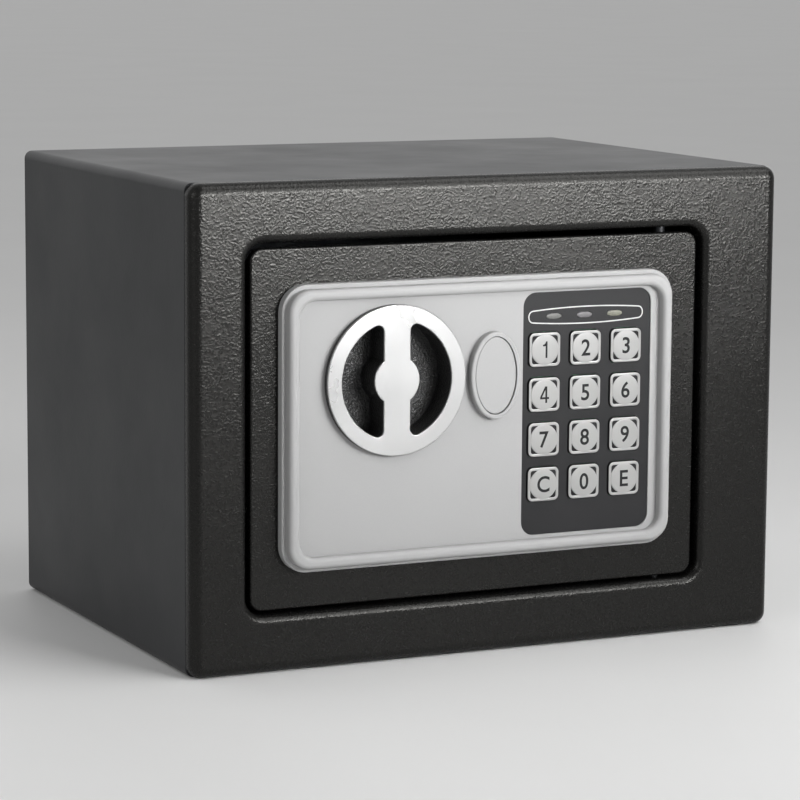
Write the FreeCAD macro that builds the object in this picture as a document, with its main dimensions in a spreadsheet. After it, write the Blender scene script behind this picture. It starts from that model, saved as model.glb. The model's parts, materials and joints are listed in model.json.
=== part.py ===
import FreeCAD, Part
import math
import os
import Sketcher

# A small electronic home safe: welded sheet-steel cabinet, hinged steel door with a keypad
# panel, a turning knob that drives two locking bolts, a solenoid that blocks them, an
# emergency key lock under an oval cap, and a battery box behind the door.
#
# Millimetres, +Z up, +X to the right of someone facing the door, the door facing -Y.
# The origin is on the floor, under the middle of the whole safe.

DRIVING_SIZES = {
    # cabinet
    "cabinet_width": 230.0, "cabinet_depth": 170.0, "cabinet_height": 170.0,
    "wrap_sheet": 1.2, "wrap_corner": 3.0,
    "frame_sheet": 1.5, "frame_corner": 4.5, "frame_edge": 4.0, "frame_skirt": 6.0, "seam_edge": 0.4,
    "opening_width": 179.0, "opening_height": 129.0, "opening_x": -5.0, "opening_z": 84.8,
    "opening_corner": 6.5, "lip_depth": 11.0, "lip_edge": 2.8,
    "anchor_radius": 5.0, "anchor_spacing": 120.0, "anchor_height": 85.0,
    "mat_thickness": 2.0, "mat_margin": 3.0, "mat_setback": 20.0,
    "bolt_hole_play": 0.6,
    # door and hinge
    "door_width": 175.0, "door_height": 125.6, "door_z": 84.4, "door_corner": 4.5,
    "door_sheet": 3.0, "door_recess": 2.5, "door_edge": 0.8,
    "hinge_x": 70.0, "hinge_setback": 8.0, "pin_radius": 2.0, "running_fit": 0.08,
    "tab_width": 12.0, "tab_height": 8.0, "tab_depth": 6.5, "bracket_sheet": 2.0,
    # control panel
    "panel_width": 153.0, "panel_height": 100.0, "panel_x": -5.6, "panel_z": 84.6,
    "panel_corner": 9.5, "panel_wall": 2.0, "flange_rise": 3.3, "flange_ledge": 1.5,
    "rim_width": 4.0, "rim_crest": 4.5, "rim_edge": 1.7, "face_rise": 1.0,
    "boss_radius": 3.0, "panel_screw_inset": 5.5,
    # knob
    "knob_x": -40.0, "knob_z": 100.2, "knob_radius": 26.4, "cup_radius": 22.8,
    "recess_radius": 21.0, "recess_corner": 2.3, "bar_width": 10.1, "hub_radius": 8.6,
    "knob_rise": 4.0, "knob_face_sheet": 0.8, "knob_face_edge": 0.3, "knob_gap": 0.4,
    "recess_floor": 7.5, "cup_floor": 2.0, "bracket_gap": 0.7, "cam_gap": 3.2,
    "spindle_radius": 5.0, "cam_radius": 14.0, "crank_radius": 9.2,
    "crank_pin_radius": 2.5, "cam_screw_radius": 3.5,
    # bolts and carriage
    "bolt_radius": 7.0, "bolt_length": 29.0, "bolt_setback": 19.5, "bolt_tip_x": -91.0,
    "bolt_top_z": 115.0, "bolt_low_z": 55.0, "bolt_travel": 13.0, "carriage_sheet": 2.0,
    "slot_play": 0.45,
    # solenoid
    "solenoid_x": -18.0, "solenoid_z": 65.0, "solenoid_width": 20.0, "solenoid_height": 26.0,
    "plunger_radius": 3.2, "plunger_setback": 18.5, "plunger_tip_radius": 2.5,
    "plunger_travel": 4.0, "plunger_lift": 1.0, "stop_gap": 4.0, "spring_wire": 0.35,
    "works_setback": 25.0,
    # override lock
    "lock_x": -1.5, "lock_z": 99.9, "lock_radius": 6.8, "plug_radius": 4.5,
    "oval_width": 19.6, "oval_height": 31.0, "cap_width": 15.9, "cap_height": 27.2,
    "oval_rise": 4.0, "oval_edge": 0.6, "cap_recess": 0.4, "cap_sheet": 1.2, "cap_play": 0.3,
    "nut_height": 3.0, "cam_sheet": 2.0, "cam_play": 0.5,
    # keypad
    "keypad_width": 51.6, "keypad_height": 87.0, "keypad_x": 36.2, "keypad_z": 84.7,
    "keypad_corner": 5.0, "keypad_rise": 0.5, "keypad_sheet": 1.4,
    "key_width": 12.4, "key_height": 12.2, "key_corner": 2.0, "key_dome": 10.8,
    "key_first_x": 19.0, "key_pitch_x": 16.4, "key_top_z": 107.7, "key_pitch_z": 16.1,
    "key_base": 0.5, "key_rise": 1.2, "key_dome_rise": 0.3, "key_play": 0.3,
    "lamp_z": 119.4, "lamp_first_x": 22.9, "lamp_pitch": 12.25, "lamp_width": 6.0,
    "lamp_height": 2.0, "board_sheet": 1.0,
    # rear cover and batteries
    "cover_left": -80.0, "cover_right": 62.0, "cover_low": 29.0, "cover_top": 140.0,
    "cover_sheet": 1.0, "cover_setback": 40.0, "cover_flange": 6.0, "cover_corner": 3.0,
    "cover_screw_radius": 1.5, "cover_screw_head": 2.6, "panel_screw_radius": 1.3,
    "panel_screw_head": 2.2, "screw_head_height": 1.6, "screw_skin": 0.6,
    "battery_left": 4.0, "battery_low": 30.2, "battery_setback": 21.0, "box_wall": 1.2,
    "cell_radius": 7.1, "cell_length": 50.0, "cell_pitch": 14.6, "cell_button": 2.7,
    "contact_sheet": 0.6, "lid_sheet": 1.6, "lid_gap": 0.4,
    "circuit_setback": 32.0, "circuit_sheet": 1.4,
    "reset_x": 40.0, "reset_z": 118.0, "reset_radius": 3.0,
}

doc = FreeCAD.newDocument("Safe")
sheet = doc.addObject("Spreadsheet::Sheet", "Dims")


class Size:
    """A length that keeps its spreadsheet expression together with its value."""

    def __init__(self, text, value):
        self.text = text
        self.value = value

    def __add__(self, other):
        other = as_size(other)
        return Size(f"({self.text} + {other.text})", self.value + other.value)

    def __sub__(self, other):
        other = as_size(other)
        return Size(f"({self.text} - {other.text})", self.value - other.value)

    def __mul__(self, factor):
        return Size(f"({self.text} * {factor})", self.value * factor)

    def __truediv__(self, divisor):
        return Size(f"({self.text} / {divisor})", self.value / divisor)

    def __neg__(self):
        return Size(f"(0 - {self.text})", -self.value)

    def __radd__(self, other):
        return as_size(other) + self

    def __rsub__(self, other):
        return as_size(other) - self

    def __rmul__(self, factor):
        return self * factor


def as_size(number):
    """A plain number becomes a Size too, so that both mix in one sum."""
    if isinstance(number, Size):
        return number
    return Size(f"({float(number)})", float(number))


class Sizes:
    """The spreadsheet's cells by alias."""


dim = Sizes()
for row, (alias, value) in enumerate(DRIVING_SIZES.items(), start=1):
    sheet.set(f"A{row}", alias)
    sheet.set(f"B{row}", str(value))
    sheet.setAlias(f"B{row}", alias)
    setattr(dim, alias, Size(f"Dims.{alias}", value))
doc.recompute()

FRONT = -(dim.cabinet_depth + dim.rim_crest) / 2 + dim.rim_crest
BACK = FRONT + dim.cabinet_depth
HALF_WIDTH = dim.cabinet_width / 2
BOLT_HEIGHTS = (dim.bolt_low_z, dim.bolt_top_z)
TURN_TO_Y = FreeCAD.Rotation(FreeCAD.Vector(1, 0, 0), -90)
TURN_TO_X = FreeCAD.Rotation(FreeCAD.Vector(0, 1, 0), 90)

nodes = {}


def behind(setback):
    """The Y of a plane this far behind the cabinet's front face (negative: proud of it)."""
    return FRONT + setback


def bind(item, **sizes):
    """Bind properties of an object to spreadsheet expressions."""
    for name, size in sizes.items():
        item.setExpression(name, as_size(size).text)
    return item


def move(item, x=0, y=0, z=0, rotation=None):
    """Place an object; its position stays bound to the spreadsheet."""
    if rotation is not None:
        item.Placement = FreeCAD.Placement(FreeCAD.Vector(0, 0, 0), rotation)
    for axis, size in (("x", x), ("y", y), ("z", z)):
        item.setExpression(f"Placement.Base.{axis}", as_size(size).text)
    return item


def node(name, item):
    """Give a finished sub-part its name."""
    item.Label = name
    nodes[name] = item
    return item


def block(name, x, y, z):
    """A box between two X, two Y and two Z positions."""
    item = doc.addObject("Part::Box", name)
    bind(item, Length=x[1] - x[0], Width=y[1] - y[0], Height=z[1] - z[0])
    return move(item, x[0], y[0], z[0])


def rod(name, along, centre, radius, span):
    """A round bar along X, Y or Z; centre holds its two other coordinates, in axis order."""
    item = doc.addObject("Part::Cylinder", name)
    bind(item, Radius=radius, Height=span[1] - span[0])
    if along == "x":
        return move(item, span[0], centre[0], centre[1], TURN_TO_X)
    if along == "y":
        return move(item, centre[0], span[0], centre[1], TURN_TO_Y)
    return move(item, centre[0], centre[1], span[0])


def fuse(name, *items):
    """One solid from several that touch."""
    item = doc.addObject("Part::MultiFuse", name)
    item.Shapes = list(items)
    return item


def cut(name, base, *tools):
    """The base with every tool taken out of it."""
    item = doc.addObject("Part::Cut", name)
    item.Base = base
    item.Tool = tools[0] if len(tools) == 1 else fuse(f"{name}_cuts", *tools)
    return item


def group(name, *items):
    """Separate solids that share one node."""
    item = doc.addObject("Part::Compound", name)
    item.Links = list(items)
    return item


def oval(name, centre, width, height, y):
    """An upright elliptical plug along Y."""
    outline = doc.addObject("Part::Ellipse", f"{name}_outline")
    bind(outline, MajorRadius=height / 2, MinorRadius=width / 2)
    along_z, along_x, along_y = (FreeCAD.Vector(*v) for v in ((0, 0, 1), (1, 0, 0), (0, 1, 0)))
    upright = FreeCAD.Rotation(along_z, along_x, along_y)
    move(outline, centre[0], y[0], centre[1], upright)
    item = doc.addObject("Part::Extrusion", name)
    item.Base = outline
    item.DirMode = "Custom"
    item.Dir = FreeCAD.Vector(0, 1, 0)
    item.Solid = True
    return bind(item, LengthFwd=y[1] - y[0])


def edges_where(shape, test):
    """Names of the edges whose bounding box passes a test."""
    return [f"Edge{n}" for n, edge in enumerate(shape.Edges, start=1) if test(edge.BoundBox)]


def soften(name, base, test, radius):
    """Round the edges of a Part object whose bounding box passes a test."""
    doc.recompute()
    item = doc.addObject("Part::Fillet", name)
    item.Base = base
    item.Edges = [(int(edge[4:]), radius.value, radius.value) for edge in edges_where(base.Shape, test)]
    return item


class Pressing:
    """A PartDesign body whose sketches lie in upright planes facing the front."""

    def __init__(self, name):
        self.name = name
        self.body = doc.addObject("PartDesign::Body", f"{name}_body")
        self.count = 0

    def _sketch(self, y):
        self.count += 1
        sketch = self.body.newObject("Sketcher::SketchObject", f"{self.name}_sketch_{self.count}")
        plane = next(f for f in self.body.Origin.OriginFeatures if f.Role == "XZ_Plane")
        sketch.AttachmentSupport = [(plane, "")]
        sketch.MapMode = "FlatFace"
        sketch.setExpression("AttachmentOffset.Base.z", (-y).text)
        return sketch

    def pad(self, draw, y):
        """Add material between two Y planes."""
        sketch = self._sketch(y[1])
        draw(sketch)
        feature = self.body.newObject("PartDesign::Pad", f"{self.name}_pad_{self.count}")
        feature.Profile = sketch
        bind(feature, Length=y[1] - y[0])
        doc.recompute()
        return feature

    def pocket(self, draw, y):
        """Take material away between two Y planes."""
        volume = self.body.Shape.Volume
        sketch = self._sketch(y[0])
        draw(sketch)
        feature = self.body.newObject("PartDesign::Pocket", f"{self.name}_pocket_{self.count}")
        feature.Profile = sketch
        bind(feature, Length=y[1] - y[0])
        doc.recompute()
        if feature.Shape.Volume > volume - 0.001:
            raise RuntimeError(f"{feature.Name} cuts nothing")
        return feature

    def round(self, test, radius):
        """Round the edges whose bounding box passes a test."""
        base = self.body.Tip
        self.count += 1
        feature = self.body.newObject("PartDesign::Fillet", f"{self.name}_fillet_{self.count}")
        feature.Base = (base, edges_where(base.Shape, test))
        bind(feature, Radius=radius)
        doc.recompute()
        return feature

    def node(self):
        return node(self.name, self.body)


def in_plane(y):
    """A test for edges that lie wholly in the plane y."""
    return lambda limits: abs(limits.YMin - y.value) < 0.001 and abs(limits.YMax - y.value) < 0.001


def rounded_rectangle(centre, width, height, radius):
    """A sketch outline: an upright rectangle with four equal round corners."""
    def draw(sketch):
        x, z = centre[0].value, centre[1].value
        w, h, r = width.value / 2, height.value / 2, radius.value
        corners = ((x + w - r, z + h - r), (x - w + r, z + h - r),
                   (x - w + r, z - h + r), (x + w - r, z - h + r))
        quarter = math.pi / 2
        point = FreeCAD.Vector
        first = sketch.GeometryCount
        for turn, (cx, cz) in enumerate(corners):
            circle = Part.Circle(point(cx, cz, 0), point(0, 0, 1), r)
            sketch.addGeometry(Part.ArcOfCircle(circle, turn * quarter, (turn + 1) * quarter), False)
        starts = ((x + w - r, z + h), (x - w, z + h - r), (x - w + r, z - h), (x + w, z - h + r))
        ends = ((x - w + r, z + h), (x - w, z - h + r), (x + w - r, z - h), (x + w, z + h - r))
        for start, end in zip(starts, ends):
            sketch.addGeometry(Part.LineSegment(point(*start, 0), point(*end, 0)), False)
        arcs = [first + n for n in range(4)]
        lines = [first + 4 + n for n in range(4)]
        for n in range(4):
            sketch.addConstraint(Sketcher.Constraint("Tangent", arcs[n], 2, lines[n], 1))
            sketch.addConstraint(Sketcher.Constraint("Tangent", lines[n], 2, arcs[(n + 1) % 4], 1))
        for n in (0, 2):
            sketch.addConstraint(Sketcher.Constraint("Horizontal", lines[n]))
            sketch.addConstraint(Sketcher.Constraint("Vertical", lines[n + 1]))
        for n in (1, 2, 3):
            sketch.addConstraint(Sketcher.Constraint("Equal", arcs[0], arcs[n]))
        driven = (
            (Sketcher.Constraint("Radius", arcs[0], r), radius),
            (Sketcher.Constraint("DistanceX", -1, 1, lines[3], 1, x + w), centre[0] + width / 2),
            (Sketcher.Constraint("DistanceX", -1, 1, lines[1], 1, x - w), centre[0] - width / 2),
            (Sketcher.Constraint("DistanceY", -1, 1, lines[0], 1, z + h), centre[1] + height / 2),
            (Sketcher.Constraint("DistanceY", -1, 1, lines[2], 1, z - h), centre[1] - height / 2),
        )
        for constraint, size in driven:
            index = sketch.addConstraint(constraint)
            sketch.setExpression(f"Constraints[{index}]", size.text)
    return draw


def circles(radius, *centres):
    """A sketch outline: circles of one radius."""
    def draw(sketch):
        for x, z in centres:
            x, z = as_size(x), as_size(z)
            place = FreeCAD.Vector(x.value, z.value, 0)
            circle = sketch.addGeometry(Part.Circle(place, FreeCAD.Vector(0, 0, 1), radius.value), False)
            driven = (
                (Sketcher.Constraint("Radius", circle, radius.value), radius),
                (Sketcher.Constraint("DistanceX", -1, 1, circle, 3, x.value), x),
                (Sketcher.Constraint("DistanceY", -1, 1, circle, 3, z.value), z),
            )
            for constraint, size in driven:
                index = sketch.addConstraint(constraint)
                sketch.setExpression(f"Constraints[{index}]", size.text)
    return draw


def polygon(*corners):
    """A sketch outline: straight sides through these corners."""
    def draw(sketch):
        points = [(as_size(x), as_size(z)) for x, z in corners]
        total = len(points)
        first = sketch.GeometryCount
        for n in range(total):
            start = FreeCAD.Vector(points[n][0].value, points[n][1].value, 0)
            after = points[(n + 1) % total]
            end = FreeCAD.Vector(after[0].value, after[1].value, 0)
            sketch.addGeometry(Part.LineSegment(start, end), False)
        for n in range(total):
            following = first + (n + 1) % total
            sketch.addConstraint(Sketcher.Constraint("Coincident", first + n, 2, following, 1))
            for kind, size in (("DistanceX", points[n][0]), ("DistanceY", points[n][1])):
                index = sketch.addConstraint(Sketcher.Constraint(kind, -1, 1, first + n, 1, size.value))
                sketch.setExpression(f"Constraints[{index}]", size.text)
    return draw


def rectangle(x, z):
    """A sketch outline: a plain rectangle between two X and two Z positions."""
    return polygon((x[0], z[0]), (x[1], z[0]), (x[1], z[1]), (x[0], z[1]))


def check_document():
    """Stop if any object failed to compute."""
    doc.recompute()
    for item in doc.Objects:
        if "Invalid" in item.State or "Error" in item.State:
            raise RuntimeError(f"{item.Name} failed: {item.State}")


# ---------------------------------------------------------------- cabinet

def body_shell():
    """The wrap: top, sides and floor in one bent sheet, open at both ends."""
    press = Pressing("body_shell")
    middle = (as_size(0), dim.cabinet_height / 2)
    skirt_back = behind(dim.frame_skirt)
    sheet_twice = dim.wrap_sheet * 2
    press.pad(rounded_rectangle(middle, dim.cabinet_width, dim.cabinet_height, dim.wrap_corner),
              (skirt_back, BACK))
    press.round(in_plane(skirt_back), dim.seam_edge)
    press.pocket(rounded_rectangle(middle, dim.cabinet_width - sheet_twice, dim.cabinet_height - sheet_twice,
                                   dim.wrap_corner - dim.wrap_sheet), (skirt_back, BACK))
    holes = [rod(f"floor_hole_{n}", "z", (side * dim.anchor_spacing / 2, as_size(0)), dim.anchor_radius,
                 (-dim.wrap_sheet, dim.wrap_sheet * 2)) for n, side in enumerate((-1, 1), start=1)]
    return node("body_shell", cut("wrap", press.body, *holes))


def back_panel():
    """The flat back, welded inside the wrap's rear edge."""
    press = Pressing("back_panel")
    middle = (as_size(0), dim.cabinet_height / 2)
    sheet_twice = dim.wrap_sheet * 2
    depth = (BACK - dim.wrap_sheet, BACK)
    press.pad(rounded_rectangle(middle, dim.cabinet_width - sheet_twice, dim.cabinet_height - sheet_twice,
                                dim.wrap_corner - dim.wrap_sheet), depth)
    half = dim.anchor_spacing / 2
    press.pocket(circles(dim.anchor_radius, (-half, dim.anchor_height), (half, dim.anchor_height)), depth)
    return press.node()


def front_frame():
    """The pressed front: rounded rim, short skirt, and a lip turned in round the opening."""
    press = Pressing("front_frame")
    middle = (as_size(0), dim.cabinet_height / 2)
    opening = (dim.opening_x, dim.opening_z)
    sheet_twice = dim.frame_sheet * 2
    press.pad(rounded_rectangle(middle, dim.cabinet_width, dim.cabinet_height, dim.frame_corner),
              (FRONT, behind(dim.frame_skirt)))
    press.round(in_plane(FRONT), dim.frame_edge)
    press.round(in_plane(behind(dim.frame_skirt)), dim.seam_edge)
    press.pocket(rounded_rectangle(middle, dim.cabinet_width - sheet_twice, dim.cabinet_height - sheet_twice,
                                   dim.frame_corner - dim.frame_sheet),
                 (behind(dim.frame_sheet), behind(dim.frame_skirt)))
    press.pad(rounded_rectangle(opening, dim.opening_width + sheet_twice, dim.opening_height + sheet_twice,
                                dim.opening_corner + dim.frame_sheet), (FRONT, behind(dim.lip_depth)))
    press.pocket(rounded_rectangle(opening, dim.opening_width, dim.opening_height, dim.opening_corner),
                 (FRONT, behind(dim.lip_depth)))
    reach = (dim.opening_width / 2 + dim.opening_corner).value

    def inner_front(limits):
        return in_plane(FRONT)(limits) and max(abs(limits.XMin), abs(limits.XMax)) < reach
    press.round(inner_front, dim.lip_edge)
    lips = (dim.opening_z - dim.opening_height / 2, dim.opening_z + dim.opening_height / 2)
    bores = [rod(f"lip_bore_{n}", "z", (dim.hinge_x, behind(dim.hinge_setback)), dim.pin_radius,
                 (z - dim.frame_sheet * 1.2, z + dim.frame_sheet * 1.2)) for n, z in enumerate(lips)]
    return node("front_frame", cut("frame_with_bores", press.body, *bores))


def hinge_bracket(name, level, up):
    """An angle welded behind the front frame; up is 1 above the opening and -1 below it."""
    x = (dim.hinge_x - dim.tab_width, dim.hinge_x + dim.tab_width)
    inner = level + up * dim.frame_sheet
    outer = inner + up * dim.bracket_sheet
    far = outer + up * dim.tab_width
    rising = [(inner, outer), (outer, far)] if up > 0 else [(outer, inner), (far, outer)]
    face = behind(dim.frame_sheet)
    depth = dim.tab_width + dim.tab_depth / 2
    ledge = block(f"{name}_ledge", x, (face, face + depth), rising[0])
    flange = block(f"{name}_flange", x, (face, face + dim.bracket_sheet), rising[1])
    bore = rod(f"{name}_bore", "z", (dim.hinge_x, behind(dim.hinge_setback)), dim.pin_radius,
               (rising[0][0] - 1, rising[0][1] + 1))
    return node(name, cut(f"{name}_angle", fuse(f"{name}_blank", ledge, flange), bore))


def hinge_pin(name, level, up):
    """A headed pin through bracket and lip into the door's hinge tab."""
    outer = level + up * (dim.frame_sheet + dim.bracket_sheet)
    inner = level - up * (dim.tab_height + 1)
    head = outer + up * dim.frame_sheet
    centre = (dim.hinge_x, behind(dim.hinge_setback))
    shank_span = (inner, outer) if up > 0 else (outer, inner)
    head_span = (outer, head) if up > 0 else (head, outer)
    shank = rod(f"{name}_shank", "z", centre, dim.pin_radius, shank_span)
    cap = rod(f"{name}_head", "z", centre, dim.pin_radius * 1.6, head_span)
    return node(name, fuse(f"{name}_whole", shank, cap))


def strike_bracket():
    """The keeper behind the left border, with a clearance hole for each locking bolt."""
    lip_outside = dim.opening_x - dim.opening_width / 2 - dim.frame_sheet
    z = (dim.bolt_low_z - dim.bolt_radius * 2, dim.bolt_top_z + dim.bolt_radius * 2)
    plate = block("strike_plate", (lip_outside - dim.frame_sheet, lip_outside),
                  (behind(dim.frame_sheet), behind(dim.bolt_setback + dim.bolt_radius + 3)), z)
    radius = dim.bolt_radius + dim.bolt_hole_play
    holes = [rod(f"strike_hole_{n}", "x", (behind(dim.bolt_setback), height), radius,
                 (lip_outside - 5, lip_outside + 1)) for n, height in enumerate(BOLT_HEIGHTS)]
    return node("strike_bracket", cut("strike_angle", plate, *holes))


def floor_mat():
    """A felt mat on the floor, cut out over the floor anchors."""
    half = HALF_WIDTH - dim.wrap_sheet - dim.mat_margin
    depth = (behind(dim.mat_setback), BACK - dim.wrap_sheet - dim.mat_margin)
    top = dim.wrap_sheet + dim.mat_thickness
    mat = block("mat_sheet", (-half, half), depth, (dim.wrap_sheet, top))
    holes = [rod(f"mat_hole_{n}", "z", (side * dim.anchor_spacing / 2, as_size(0)), dim.anchor_radius * 1.8,
                 (as_size(0), top + 1)) for n, side in enumerate((-1, 1), start=1)]
    return node("floor_mat", cut("mat", mat, *holes))


# ---------------------------------------------------------------- door

DOOR_FACE = behind(dim.door_recess)
DOOR_BACK = behind(dim.door_recess + dim.door_sheet)
KNOB_AXIS = (dim.knob_x, dim.knob_z)
LOCK_AXIS = (dim.lock_x, dim.lock_z)
COVER_BACK = behind(dim.cover_setback)
SCREW_PLACES = [(x, z) for x in (dim.cover_left + 14, dim.cover_right - 14)
                for z in (dim.cover_low - dim.cover_flange / 2, dim.cover_top + dim.cover_flange / 2)]
PANEL_SCREW_PLACES = [(dim.panel_x + sx * (dim.panel_width / 2 - dim.panel_screw_inset),
                       dim.panel_z + sz * (dim.panel_height / 2 - dim.panel_screw_inset))
                      for sx in (-1, 1) for sz in (-1, 1)]
LAMP_CORNER = dim.lamp_height * 0.49


def door_plate():
    """The thick door plate, bored for the knob's cup, the lock and the screws."""
    press = Pressing("door_plate")
    depth = (DOOR_FACE, DOOR_BACK)
    press.pad(rounded_rectangle((dim.opening_x, dim.door_z), dim.door_width, dim.door_height,
                                dim.door_corner), depth)
    press.round(in_plane(DOOR_FACE), dim.door_edge)
    press.pocket(circles(dim.cup_radius + 1.2, KNOB_AXIS), depth)
    press.pocket(circles(dim.lock_radius, LOCK_AXIS), depth)
    press.pocket(circles(dim.panel_screw_radius, *PANEL_SCREW_PLACES), depth)
    press.pocket(circles(dim.cover_screw_radius, *SCREW_PLACES), (DOOR_FACE + dim.screw_skin, DOOR_BACK))
    return press.node()


def door_hinge_tab(name, low):
    """A bored block welded to the back of the door plate."""
    half = dim.tab_width / 2
    tab = block(f"{name}_block", (dim.hinge_x - half, dim.hinge_x + half),
                (DOOR_BACK, DOOR_BACK + dim.tab_depth), (low, low + dim.tab_height))
    bore = rod(f"{name}_bore", "z", (dim.hinge_x, behind(dim.hinge_setback)),
               dim.pin_radius + dim.running_fit, (low - 1, low + dim.tab_height + 1))
    return node(name, cut(f"{name}_bored", tab, bore))


def control_panel():
    """The moulded panel: a ledge all round, a raised rim, and a face with knob and lock holes."""
    press = Pressing("control_panel")
    centre = (dim.panel_x, dim.panel_z)
    face = behind(-dim.face_rise)
    ledge = DOOR_FACE - dim.flange_rise
    crest = behind(-dim.rim_crest)
    shrink = dim.flange_ledge * 2
    inner = shrink + dim.rim_width * 2
    press.pad(rounded_rectangle(centre, dim.panel_width, dim.panel_height, dim.panel_corner),
              (ledge, DOOR_FACE))
    press.round(in_plane(ledge), dim.rim_edge / 3)
    press.pad(rounded_rectangle(centre, dim.panel_width - shrink, dim.panel_height - shrink,
                                dim.panel_corner - dim.flange_ledge), (crest, ledge))
    press.pocket(rounded_rectangle(centre, dim.panel_width - inner, dim.panel_height - inner,
                                   dim.panel_corner - dim.flange_ledge - dim.rim_width / 2), (crest, face))
    press.round(in_plane(crest), dim.rim_edge)
    hollow = inner + dim.panel_wall * 1.5
    press.pocket(rounded_rectangle(centre, dim.panel_width - hollow, dim.panel_height - hollow,
                                   dim.panel_corner / 2), (face + dim.panel_wall, DOOR_FACE))
    press.pocket(rounded_rectangle((dim.keypad_x, dim.keypad_z), dim.keypad_width, dim.keypad_height,
                                   dim.keypad_corner), (face, face + dim.panel_wall))
    press.pocket(circles(dim.cup_radius + 0.7, KNOB_AXIS), (face, face + dim.panel_wall))
    bosses = [rod(f"screw_boss_{n}", "y", place, dim.boss_radius, (face + dim.panel_wall, DOOR_FACE))
              for n, place in enumerate(PANEL_SCREW_PLACES)]
    bores = [rod(f"boss_bore_{n}", "y", place, dim.panel_screw_radius,
                 (face + dim.panel_wall - 1, DOOR_FACE + 1)) for n, place in enumerate(PANEL_SCREW_PLACES)]
    oval_top = behind(-dim.oval_rise)
    plug = oval("lock_boss_plug", LOCK_AXIS, dim.oval_width, dim.oval_height, (oval_top, DOOR_FACE))
    boss = soften("lock_boss", plug, in_plane(oval_top), dim.oval_edge)
    play = dim.cap_play * 2
    well = oval("lock_well", LOCK_AXIS, dim.cap_width + play, dim.cap_height + play,
                (oval_top - 1, DOOR_FACE + 1))
    blank = fuse("panel_blank", press.body, boss, *bosses)
    return node("control_panel", cut("panel_moulding", blank, well, *bores))


def key_places():
    """Key names with their centres, top row first."""
    names = ("1", "2", "3", "4", "5", "6", "7", "8", "9", "c", "0", "e")
    for number, name in enumerate(names):
        row, column = divmod(number, 3)
        yield name, (dim.key_first_x + column * dim.key_pitch_x, dim.key_top_z - row * dim.key_pitch_z)


def lamp_places():
    """Lamp names with their centres, left to right."""
    for number, colour in enumerate(("yellow", "green", "red")):
        yield colour, (dim.lamp_first_x + number * dim.lamp_pitch, dim.lamp_z)


def keypad_plate():
    """The dark plate in the panel's window, with an opening for every key and lamp."""
    press = Pressing("keypad_plate")
    depth = (behind(-dim.keypad_rise), behind(-dim.keypad_rise + dim.keypad_sheet))
    press.pad(rounded_rectangle((dim.keypad_x, dim.keypad_z), dim.keypad_width, dim.keypad_height,
                                dim.keypad_corner), depth)
    play = dim.key_play * 2
    for name, place in key_places():
        press.pocket(rounded_rectangle(place, dim.key_width + play, dim.key_height + play,
                                       dim.key_corner + dim.key_play), depth)
    for colour, place in lamp_places():
        press.pocket(rounded_rectangle(place, dim.lamp_width, dim.lamp_height, LAMP_CORNER), depth)
    return press.node()


def lamp(colour, place):
    """A small oval light guide, flush with the keypad plate."""
    press = Pressing(f"led_{colour}")
    press.pad(rounded_rectangle(place, dim.lamp_width, dim.lamp_height, LAMP_CORNER),
              (behind(-dim.keypad_rise - 0.15), behind(-dim.keypad_rise + dim.keypad_sheet)))
    return press.node()


def key(name, place):
    """One push key: a rounded square with a slightly raised round face."""
    press = Pressing(f"key_{name}")
    top = behind(-dim.key_rise)
    press.pad(rounded_rectangle(place, dim.key_width, dim.key_height, dim.key_corner),
              (top, behind(dim.key_base)))
    press.pad(circles(dim.key_dome / 2, place), (top - dim.key_dome_rise, top))
    press.round(in_plane(top - dim.key_dome_rise), dim.key_dome_rise * 0.8)
    return press.node()


def keypad_board():
    """The circuit board behind the keys."""
    y = (DOOR_FACE - dim.board_sheet, DOOR_FACE)
    half_x, half_z = dim.keypad_width / 2 - 1, dim.keypad_height / 2 - 1
    return node("keypad_pcb", block("keypad_board", (dim.keypad_x - half_x, dim.keypad_x + half_x - 4),
                                    y, (dim.keypad_z - half_z + 4, dim.keypad_z + half_z)))


# ---------------------------------------------------------------- knob

def finger_recesses(name, y):
    """The two D-shaped finger recesses, as one cutting tool."""
    half = dim.bar_width / 2
    tall = dim.recess_radius + 2
    disc = rod(f"{name}_disc", "y", KNOB_AXIS, dim.recess_radius, y)
    past = (y[0] - 1, y[1] + 1)
    bar = block(f"{name}_bar", (dim.knob_x - half, dim.knob_x + half), past,
                (dim.knob_z - tall, dim.knob_z + tall))
    hub = rod(f"{name}_hub", "y", KNOB_AXIS, dim.hub_radius, past)
    sides = cut(f"{name}_sides", disc, bar, hub)

    def upright(limits):
        thin = limits.XLength < 0.01 and limits.ZLength < 0.01
        return thin and limits.YLength > 0.1 and abs(limits.ZMin - dim.knob_z.value) > dim.hub_radius.value
    return soften(name, sides, upright, dim.recess_corner)


def knob():
    """The turning knob: a flange over the panel and a deep cup for the fingers."""
    top = behind(-dim.knob_rise + dim.knob_face_sheet)
    seat = behind(-dim.face_rise - dim.knob_gap)
    cup_back = behind(dim.recess_floor + dim.cup_floor)
    flange = rod("knob_flange", "y", KNOB_AXIS, dim.knob_radius, (top, seat))
    cup = rod("knob_cup", "y", KNOB_AXIS, dim.cup_radius, (seat, cup_back))
    recesses = finger_recesses("knob_recesses", (top - 1, behind(dim.recess_floor)))
    return node("knob", cut("knob_moulding", fuse("knob_blank", flange, cup), recesses))


def knob_face():
    """The bright face plate of the knob: a ring with a bar and hub across it."""
    y = (behind(-dim.knob_rise), behind(-dim.knob_rise + dim.knob_face_sheet))
    disc = rod("knob_face_disc", "y", KNOB_AXIS, dim.knob_radius, y)
    windows = finger_recesses("knob_windows", (y[0] - 1, y[1] + 1))
    plate = cut("knob_face_plate", disc, windows)
    return node("knob_face", soften("knob_face_soft", plate, in_plane(y[0]), dim.knob_face_edge))


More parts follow.
